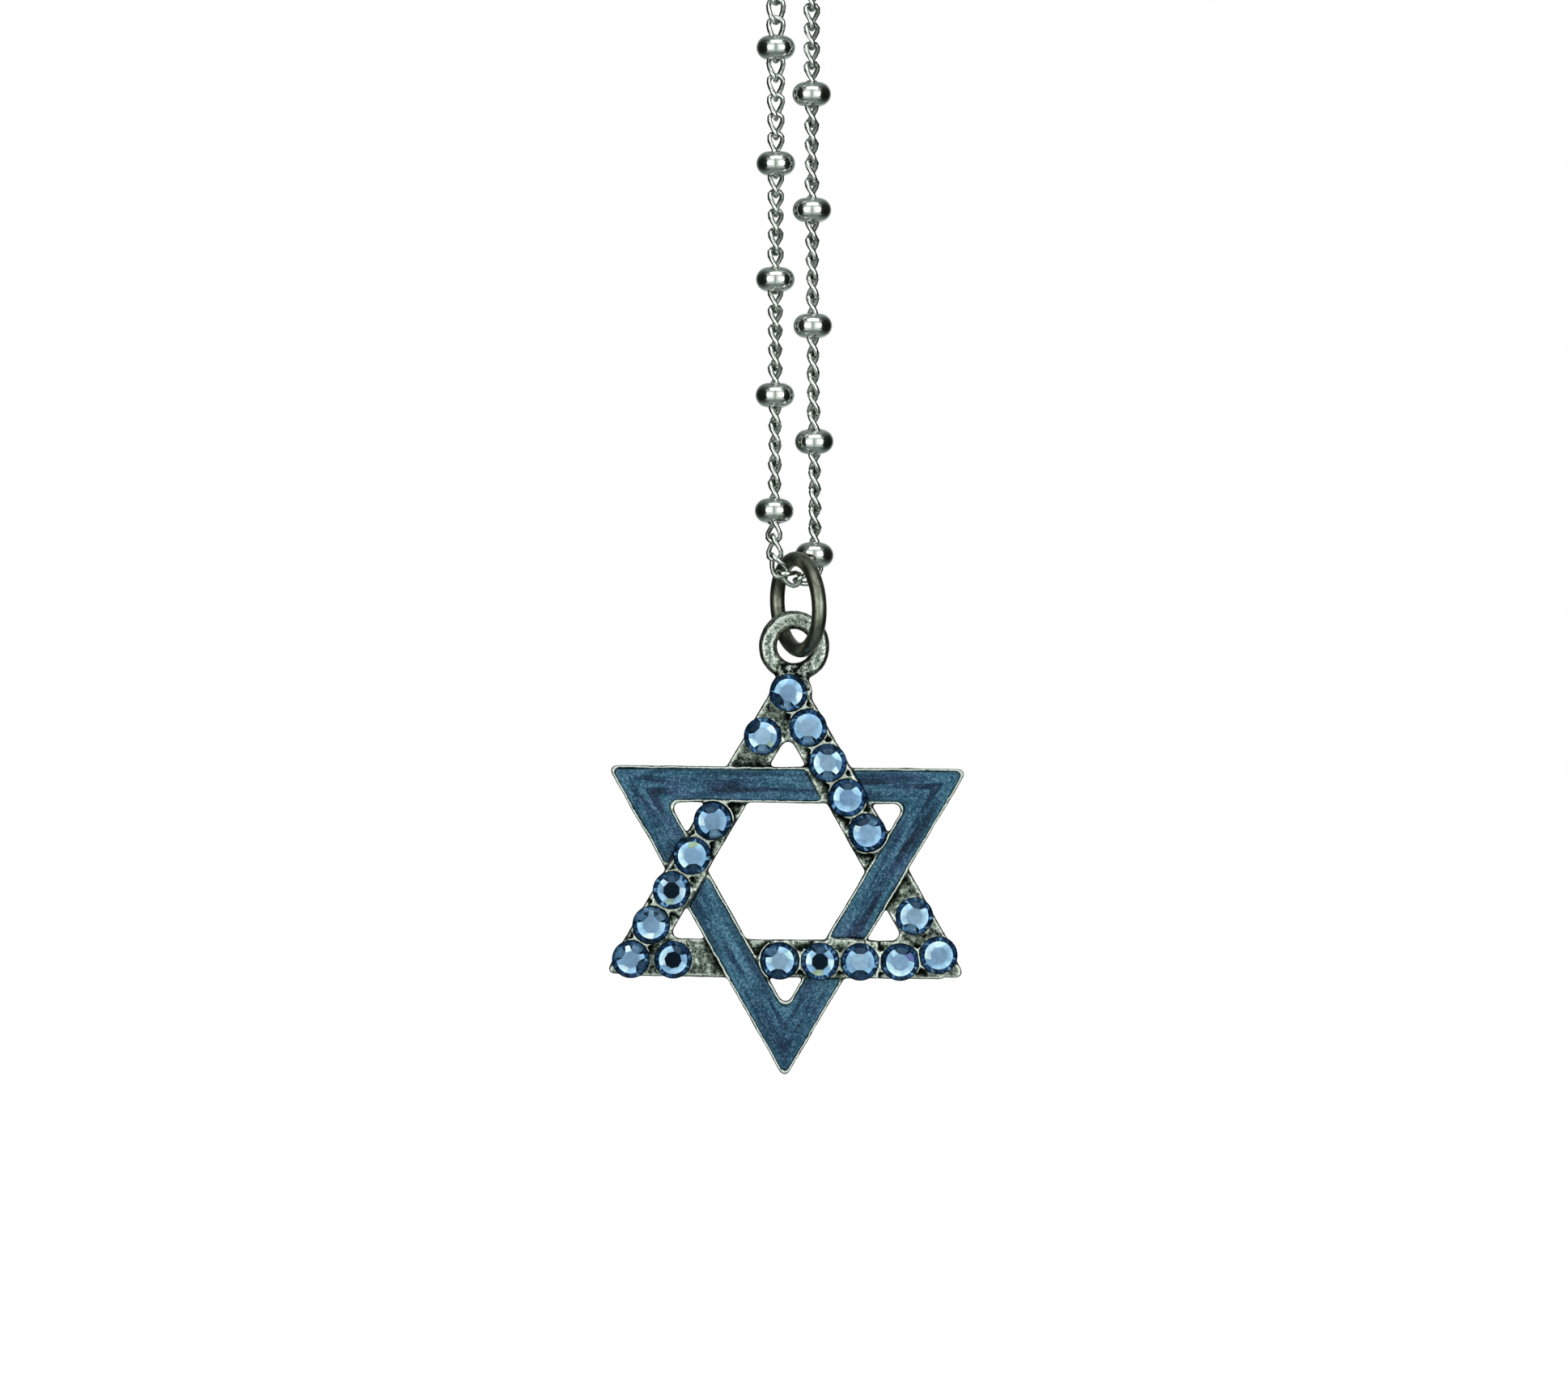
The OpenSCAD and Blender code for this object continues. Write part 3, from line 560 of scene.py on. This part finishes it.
def crystal(n):
    """One stone's points, faces and facet tones, lying flat."""
    luck = np.random.default_rng(100 + n)

    def tone(kind, low=0.9, high=1.1):
        """One of the painted reflection tones of a kind of facet, a little lighter or darker."""
        code = facet_glass_and_reflection_tones[kind][int(luck.integers(len(facet_glass_and_reflection_tones[kind])))]
        lighter = low + (high - low) * luck.random()
        return [c * lighter for c in code]

    start, plan = facet_reflection_plan[n]
    corner = [main_step * i for i in range(mains)]
    inner = [main_step * i + d for i in range(mains) for d in (-side_turn, 0, side_turn, main_step / 2)]
    even = [rim_step * (i - 0.5) for i in range(rims)]
    edge_h = np.interp(edge_r, (mid_r, stone_r), (mid_h, girdle_high))
    points = np.array(ring(table_r, stone_h, corner) + ring(mid_r, mid_h, inner) + ring(edge_r, edge_h, even)
                      + ring(stone_r, girdle_high, even) + ring(stone_r, girdle_low, even)
                      + ring(back_r, 0, even) + [(0, 0, stone_h), (0, 0, 0)])
    a = math.radians(start - main_step / 2)
    points = points @ np.array([[math.cos(a), math.sin(a), 0], [-math.sin(a), math.cos(a), 0], [0, 0, 1]])
    faces, tones = [], []
    base = tone("k" if n in dark_reflection_tables else "t", 0.58, 0.76)
    lobes = [tone(kind, 0.78, 1.16) for kind in plan]
    for i, lobe in enumerate(lobes):
        nxt = (i + 1) % mains
        faces.append((top_at, i, nxt))
        lighter = 0.96 + 0.08 * luck.random()
        tones.append([c * lighter for c in base])
        first, middle, following = mid_at + 4 * i, mid_at + 4 * i + 3, mid_at + 4 * nxt
        for face in ((i, first + 2, middle), (i, middle, nxt), (nxt, middle, following)):
            faces.append(face)
            lighter = 0.9 + 0.2 * luck.random()
            tones.append([c * lighter for c in lobe])
        # The two facets at the corner between this main facet and the one before
        deep = [plan[i - 1] in "sd", plan[i] in "sd"]
        for near, face in enumerate(((i, first, first + 1), (i, first + 1, first + 2))):
            faces.append(face)
            tones.append(tone(plan[i - 1 + near]) if deep[near] and not deep[1 - near] else
                         tone("k") if deep[0] or deep[1] else [c * 0.95 for c in lobe])
    for i in range(rims):
        nxt = (i + 1) % rims
        a, b, c, d = mid_at + i, edge_at + i, edge_at + nxt, mid_at + nxt
        # The facets of the rim lean to either side in turn, and a dark main facet runs on into the rim
        pair = [(a, b, d), (b, c, d)] if i % 2 else [(a, b, c), (a, c, d)]
        main = i // 4 - (i % 4 == 0)
        for face in pair:
            rim = tone("rim", 0.5, 1.2)
            tones.append([lobes[main] if plan[main] in "sd" and v < edge_at else rim for v in face])
        # Painted black as shade: a thin edge, the girdle and the underside; then the flat back
        faces += pair + [(m + i, m + rims + i, m + rims + nxt, m + nxt) for m in (edge_at, high_at, low_at)]
        faces.append((back_at + i, under_at, back_at + nxt))
        tones += [tone("k"), tone("k"), tone("k"), foil_back]
    return points, faces, tones


for n in range(1, 19):
    k, j = (n - 1) // 6, (n - 1) % 6
    x, y, top = stone_place(k, j)
    points, faces, tones = crystal(n)
    hung = [standing(x + p[0], y + p[1], top - seat_depth + p[2]) for p in points]
    stone = piece("crystal_%02d" % n, hung, faces, crystal_painted_facets, smooth=False)
    layer = stone.data.color_attributes.new("facet_glass_and_reflection", "FLOAT_COLOR", "CORNER")
    # Painted highlight: the tones are made lighter towards the outer end of each main facet, where the foil throws
    # back more light
    flat = np.array([(p[0], p[2]) for p in hung])
    far = np.linalg.norm(flat - flat[top_at], axis=1)
    painted_glint = np.interp(far, (table_r, mid_r, mid_r + 0.05), (0.86, 1.42, 1.0))
    values = np.ones((sum(len(f) for f in faces), 4))
    values[:, :3] = np.concatenate([np.broadcast_to(t, (len(f), 3)) * painted_glint[list(f)][:, None]
                                    for f, t in zip(faces, tones)]).clip(0, 0.97)
    layer.data.foreach_set("color", values.ravel())
    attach(stone, "pendant")
    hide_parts("stone_%02d" % n)

# The jump ring: a turn of thick round wire with a dark plated finish, sawn through and closed, so a fine butt
# joint shows in its back. Handling has rubbed the finish thin along the wire.
# Its middle, the direction across it and the one up it, as it hangs
ring_mid = np.array([0.272, 0.0, -203.220])
ring_along = np.array([0.4529, -0.8910, 0.0317])
ring_up = np.array([-0.0698, 0.0, 0.9976])
ring_r, wire_r = 3.05, 0.5
ring_face = np.cross(ring_along, ring_up)
turns, sides_n = 112, 24
joint, half_gap = math.radians(205), 0.045 / ring_r
# The sawn ends are broken a little: narrower over the last twentieth of a millimetre
chamfer, end_share = 0.05 / ring_r, 0.84
points = []
for i in range(turns + 1):
    for shrink in ((end_share, 1.0) if i == 0 else (1.0, end_share) if i == turns else (1.0,)):
        inset = 0.0 if shrink == 1.0 else -chamfer if i == 0 else chamfer
        u = joint + half_gap + chamfer + (2 * math.pi - 2 * half_gap - 2 * chamfer) * i / turns + inset
        out = math.cos(u) * ring_along + math.sin(u) * ring_up
        for m in range(sides_n):
            v = 2 * math.pi * m / sides_n
            points.append(ring_mid + ring_r * out
                          + wire_r * shrink * (math.cos(v) * out + math.sin(v) * ring_face))
rows = len(points) // sides_n
faces = [(i * sides_n + m, i * sides_n + (m + 1) % sides_n, (i + 1) * sides_n + (m + 1) % sides_n,
          (i + 1) * sides_n + m) for i in range(rows - 1) for m in range(sides_n)]
faces += [tuple(range(sides_n - 1, -1, -1)), tuple((rows - 1) * sides_n + m for m in range(sides_n))]

# Dark-plated drawn wire: olive grey, with fine lines of 0.3 by 0.06 mm along the wire from drawing, and paler
# worn patches of about a millimetre
plated, tree, spot = finish_named("gunmetal_plated_drawn_wire")
lie = add(tree, "ShaderNodeUVMap", uv_map="wire")
lanes = add(tree, "ShaderNodeMapping", {"Vector": lie, "Scale": (3.0, 26.0, 1.0)})
drawn = add(tree, "ShaderNodeTexNoise", {"Vector": lanes, "Scale": 1.0, "Detail": 4.0})
cloud = add(tree, "ShaderNodeTexNoise", {"Vector": spot, "Scale": 900.0, "Detail": 3.0})
worn = add(tree, "ShaderNodeMath", {0: drawn, 1: cloud}, operation="ADD")
worn = add(tree, "ShaderNodeMath", {0: worn, 1: 0.5}, operation="MULTIPLY")
shade = add(tree, "ShaderNodeValToRGB", {"Fac": worn},
            stops=[(0.34, "#4e5247"), (0.5, "#7e8375"), (0.66, "#a9ad9f")])
relief = add(tree, "ShaderNodeBump", {"Height": drawn, "Strength": 0.3, "Distance": 0.00003})
metal = add(tree, "ShaderNodeBsdfPrincipled", {"Base Color": shade, "Metallic": 1.0,
                                               "Roughness": 0.36, "Normal": relief})
add(tree, "ShaderNodeOutputMaterial", {"Surface": metal})
jump_ring = piece("jump_ring_wire", points, faces, plated)
# Millimetres along the wire, and the share of the way round it, the same on both sides
turn_length = 0.17
layer = jump_ring.data.uv_layers.new(name="wire")
for face in jump_ring.data.polygons:
    for loop in face.loop_indices:
        v = jump_ring.data.loops[loop].vertex_index
        layer.data[loop].uv = (v // sides_n * turn_length, abs((v % sides_n) / sides_n - 0.5) * 2)
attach(jump_ring, "jump_ring")
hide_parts("jump_ring")

# The chain: a fine curb chain of bright-plated wire links, each bent, closed and twisted by machine so that they
# lie flat. It runs through the jump ring as one loop, with its turn between the two lowest beads.
link_pitch, link_wire = 1.29, 0.35
# The route: x, y and the height above the turn's lowest point, in millimetres
low_z, straight_step = -201.40, 6.6
turn_run = [(-1.35, -0.5, 2.8), (-1.32, -0.6, 1.8), (-1.2, -0.65, 1), (-0.85, -0.5, 0.36), (-0.25, -0.22, 0),
            (0.75, 0.3, 0), (1.15, 0.98, 0.22), (1.34, 1.55, 0.65), (1.38, 1.82, 2.4), (1.4, 1.65, 3.4)]
left_up = [(-1.32, -0.35, 5), (-1.28, -0.1, 9), (-1.27, 0, 14), (-1.22, 0, 27)]
right_up = [(1.4, 1.1, 5), (1.35, 0.5, 9), (1.27, 0, 14), (1.18, 0, 27)]
left_top, right_top = np.array([-1.125, 0, -8.78]), np.array([1.125, 0, -6.10])


def lifted(line, top=None):
    """The route's points at their height, with the straight run to the top in even steps."""
    line = [np.array([p[0], p[1], low_z + p[2]]) for p in line]
    if top is not None:
        steps = math.ceil(np.linalg.norm(top - line[-1]) / straight_step)
        line += [line[-1] + (top - line[-1]) * i / steps for i in range(1, steps + 1)]
    return line


left_run, right_run = lifted(left_up, left_top), lifted(right_up, right_top)
route = np.array(left_run[::-1] + lifted(turn_run) + right_run)
steps = np.linalg.norm(np.diff(route, axis=0), axis=1)
reach = np.concatenate([[0], np.cumsum(steps)])
# The lowest point, and how far from it the first bead up each side is
zero = reach[len(left_run) + 4] + 0.25
left_first, right_first = 5.2, 3.3


def route_point(s):
    """The point of the route that lies s along it."""
    return np.array([np.interp(s, reach, route[:, axis]) for axis in range(3)])


# More beads than fit are counted out up both sides, and those past the ends are left out
bead_d, bead_h, bead_gap, most_beads = 2.6, 1.62, 6 * link_pitch, 60
bead_s = [zero + right_first + bead_gap * i for i in range(most_beads)]
bead_s += [zero - left_first - bead_gap * i for i in range(most_beads)]
bead_s = [s for s in bead_s if bead_gap / 2 <= s <= reach[-1] - bead_gap / 2]

# Bright plated wire: nearly white and mirror-like outside, darker and less glossy on the inner side of each link,
# in patches of 0.7 mm
wire_finish, tree, spot = finish_named("bright_plated_chain_wire")
inside = add(tree, "ShaderNodeAttribute", attribute_name="inside").outputs["Fac"]
cloud = add(tree, "ShaderNodeTexNoise", {"Vector": spot, "Scale": 1400.0, "Detail": 3.0})
inner_dark = add(tree, "ShaderNodeMath", {0: cloud, 1: 0.5, 2: inside}, operation="MULTIPLY_ADD")
shade = add(tree, "ShaderNodeValToRGB", {"Fac": inner_dark},
            stops=[(0.3, "#d9ded9"), (0.62, "#b4bcb5"), (0.88, "#697067"), (1.0, "#363b33")])
gloss = add(tree, "ShaderNodeMapRange", {"Value": inner_dark, "From Min": 0.3, "From Max": 1.0,
                                         "To Min": 0.12, "To Max": 0.4})
metal = add(tree, "ShaderNodeBsdfPrincipled", {"Base Color": shade, "Metallic": 1.0,
                                               "Roughness": gloss})
add(tree, "ShaderNodeOutputMaterial", {"Surface": metal})

# One link, twisted so that its ends cross those of its neighbours, darkest on its inner side
long_r, short_r, rise = link_pitch / 2 + link_wire / 2, 0.5, -0.27
bends, wire_sides, most_inner_dark = 16, 6, 0.55
points, faces, hollow = [], [], []
for i in range(bends):
    t = 2 * math.pi * i / bends
    here = np.array([short_r * math.sin(t), rise * math.sin(2 * t), long_r * math.cos(t)])
    ahead = np.array([short_r * math.cos(t), 2 * rise * math.cos(2 * t), -long_r * math.sin(t)])
    ahead /= np.linalg.norm(ahead)
    off = np.array([here[0], 0, here[2]])
    off -= ahead * off.dot(ahead)
    off /= np.linalg.norm(off)
    rest = np.cross(ahead, off)
    for m in range(wire_sides):
        v = 2 * math.pi * (m + 0.5) / wire_sides
        points.append(here + link_wire / 2 * (math.cos(v) * off + math.sin(v) * rest))
        hollow.append(max(0.0, -math.cos(v)) * most_inner_dark)
        a, b = i * wire_sides + m, i * wire_sides + (m + 1) % wire_sides
        down = wire_sides if i < bends - 1 else wire_sides * (1 - bends)
        faces.append((a, a + down, b + down, b))


def face_out(mesh):
    """Turns all faces of a closed mesh outwards."""
    form = bmesh.new()
    form.from_mesh(mesh)
    bmesh.ops.recalc_face_normals(form, faces=form.faces)
    form.to_mesh(mesh)
    form.free()


link = piece("link", points, faces, wire_finish)
layer = link.data.attributes.new("inside", "FLOAT", "POINT")
layer.data.foreach_set("value", hollow)
face_out(link.data)

# Three runs: up the left strand, up the right strand, and the turn between the two lowest beads. For each, how
# far the links are turned on edge, in degrees, at heights above the turn. The strands reach into the end rings.
edge_on = [((0, 3, 7, 12, 20, 28, 33, 36, 60, 110, 190), (60, 62, 90, 80, 72, 60, 45, 8, 60, 90, 30)),
           ((0, 24, 28, 34, 60, 110, 190), (90, 88, 76, 68, 40, 80, 20)), ((0, 4, 8), (45, 60, 62))]
end_reach, wobble_turn = 0.85, 6
runs = []
for s0, s1 in ((zero - left_first, 0.0), (zero + right_first, reach[-1]), (zero - left_first, zero + right_first)):
    inner = [s for s in (reach if s1 > s0 else reach[::-1]) if min(s0, s1) < s < max(s0, s1)]
    line = [route_point(s) for s in [s0] + inner + [s1]]
    runs.append(line)
runs[0].append(runs[0][-1] + np.array([0, 0, end_reach]))
runs[1].append(runs[1][-1] + np.array([0, 0, end_reach]))
track = bpy.data.curves.new("chain_track", "CURVE")
track.dimensions = "3D"
for n, line in enumerate(runs):
    spline = track.splines.new("POLY")
    spline.points.add(len(line) - 1)
    for i, p in enumerate(line):
        spline.points[i].co = (*(p * mm), 1)
        spline.points[i].tilt = math.radians(float(np.interp(p[2] - low_z, *edge_on[n])))
chain = bpy.data.objects.new("chain_links", track)
scene.collection.objects.link(chain)

# Geometry Nodes: a link at every step of each run, on edge by its tilt
weave, sockets = shaping_tree("curb_links", {"Link Pitch": "Float", "Link": "Object", "Wobble": "Float"})
given = add(weave, "NodeGroupInput").outputs
turned = add(weave, "GeometryNodeInputCurveTilt")
turned = add(weave, "GeometryNodeStoreNamedAttribute", {"Geometry": given["Geometry"], "Name": "on_edge",
                                                        "Value": turned}, data_type="FLOAT", domain="POINT")
smooth = add(weave, "GeometryNodeCurveSplineType", {"Curve": turned}, spline_type="CATMULL_ROM")
length = add(weave, "GeometryNodeSplineLength")
count = add(weave, "ShaderNodeMath", {0: length, 1: given["Link Pitch"]}, operation="DIVIDE")
count = add(weave, "ShaderNodeMath", {0: count}, operation="ROUND")
count = add(weave, "ShaderNodeMath", {0: count, 1: 1.0}, operation="ADD")
even = add(weave, "GeometryNodeResampleCurve", {"Curve": smooth, "Count": count}, mode="COUNT")
dots = add(weave, "GeometryNodeCurveToPoints", {"Curve": even}, mode="EVALUATED")
facing = add(weave, "FunctionNodeAxesToRotation", {"Primary Axis": dots.outputs["Tangent"],
                                                   "Secondary Axis": (0.0, -1.0, 0.0)},
             primary_axis="Z", secondary_axis="Y")
tilt = add(weave, "GeometryNodeInputNamedAttribute", {"Name": "on_edge"}, data_type="FLOAT")
stray = add(weave, "FunctionNodeRandomValue", {2: -1.0, 3: 1.0, "Seed": 5}, data_type="FLOAT")
tilt = add(weave, "ShaderNodeMath", {0: stray.outputs[1], 1: given["Wobble"], 2: tilt}, operation="MULTIPLY_ADD")
twist = add(weave, "FunctionNodeAxisAngleToRotation", {"Axis": (0, 0, 1), "Angle": tilt})
facing = add(weave, "FunctionNodeRotateRotation", {"Rotation": facing, "Rotate By": twist}, rotation_space="LOCAL")
shape = add(weave, "GeometryNodeObjectInfo", {"Object": given["Link"]}, transform_space="ORIGINAL")
laid = add(weave, "GeometryNodeInstanceOnPoints", {"Points": dots.outputs["Points"],
                                                   "Instance": shape.outputs["Geometry"],
                                                   "Rotation": facing})
laid = add(weave, "GeometryNodeRealizeInstances", {"Geometry": laid})
laid = add(weave, "GeometryNodeSetMaterial", {"Geometry": laid, "Material": wire_finish})
add(weave, "NodeGroupOutput", {"Geometry": laid})
weaving = chain.modifiers.new("curb_links", "NODES")
weaving.node_group = weave
for name, value in (("Link Pitch", link_pitch * mm), ("Link", link), ("Wobble", math.radians(wobble_turn))):
    weaving[sockets[name].identifier] = value
whole = evaluated(chain)
bpy.data.objects.remove(chain)
bpy.data.objects.remove(link)
links = bpy.data.objects.new("chain_links", whole)
scene.collection.objects.link(links)
whole.polygons.foreach_set("use_smooth", [True] * len(whole.polygons))
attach(links, "chain")
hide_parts("chain_bottom", "chain_top")

# The beads: polished round flattened beads of bright-plated brass, threaded on the chain and pinched in place,
# one after every six links.
half, inner_r = bead_h / 2, 0.5
mouth, throat_end = 0.92 * half, 0.5 * half
mid_bead = bead_d / 2 - half
arc = math.acos((inner_r - mid_bead) / half)
profile = [(inner_r, -throat_end), (inner_r, -mouth)]
profile += [(mid_bead + half * math.cos(a), half * math.sin(a)) for a in np.linspace(-arc, arc, 17)[1:-1]]
profile += [(inner_r, mouth), (inner_r, throat_end)]
around = 40
points, faces = [], []
for s in bead_s:
    ahead = route_point(s + half) - route_point(s - half)
    ahead /= np.linalg.norm(ahead)
    across = np.cross(ahead, (0, 1, 0))
    across /= np.linalg.norm(across)
    upright = np.cross(ahead, across)
    middle, start = route_point(s), len(points)
    for i in range(around):
        v = 2 * math.pi * i / around
        out = math.cos(v) * across + math.sin(v) * upright
        points += [middle + r * out + z * ahead for r, z in profile]
        for m in range(len(profile)):
            a, b = i * len(profile) + m, i * len(profile) + (m + 1) % len(profile)
            turn = len(profile) if i < around - 1 else len(profile) * (1 - around)
            faces.append((start + a, start + b, start + b + turn, start + a + turn))

# Bright plating over a tumbled bead: a clean mirror, faintly uneven over 1.4 mm and over 0.25 mm
polish, tree, spot = finish_named("bright_plated_tumbled_bead")
cloud = add(tree, "ShaderNodeTexNoise", {"Vector": spot, "Scale": 700.0, "Detail": 2.0})
fine = add(tree, "ShaderNodeTexNoise", {"Vector": spot, "Scale": 4000.0, "Detail": 3.0})
shade = add(tree, "ShaderNodeValToRGB", {"Fac": cloud}, stops=[(0.3, "#cfd6d2"), (0.7, "#eef1ee")])
gloss = add(tree, "ShaderNodeMapRange", {"Value": fine, "To Min": 0.08, "To Max": 0.2})
relief = add(tree, "ShaderNodeBump", {"Height": cloud, "Strength": 0.25, "Distance": 0.00005})
metal = add(tree, "ShaderNodeBsdfPrincipled", {"Base Color": shade, "Metallic": 1.0,
                                               "Roughness": gloss, "Normal": relief})
add(tree, "ShaderNodeOutputMaterial", {"Surface": metal})
beads = piece("chain_bead_row", points, faces, polish)
face_out(beads.data)
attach(beads, "chain")
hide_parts("chain_beads")

# The clasp and the two end rings: a plain round hoop with a soldered eye, and two rings of finer wire, all
# plated bright like the chain. They stay as the frame has them.
for name in ("clasp", "end_ring_left", "end_ring_right"):
    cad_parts[name].data.materials.clear()
    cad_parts[name].data.materials.append(polish)
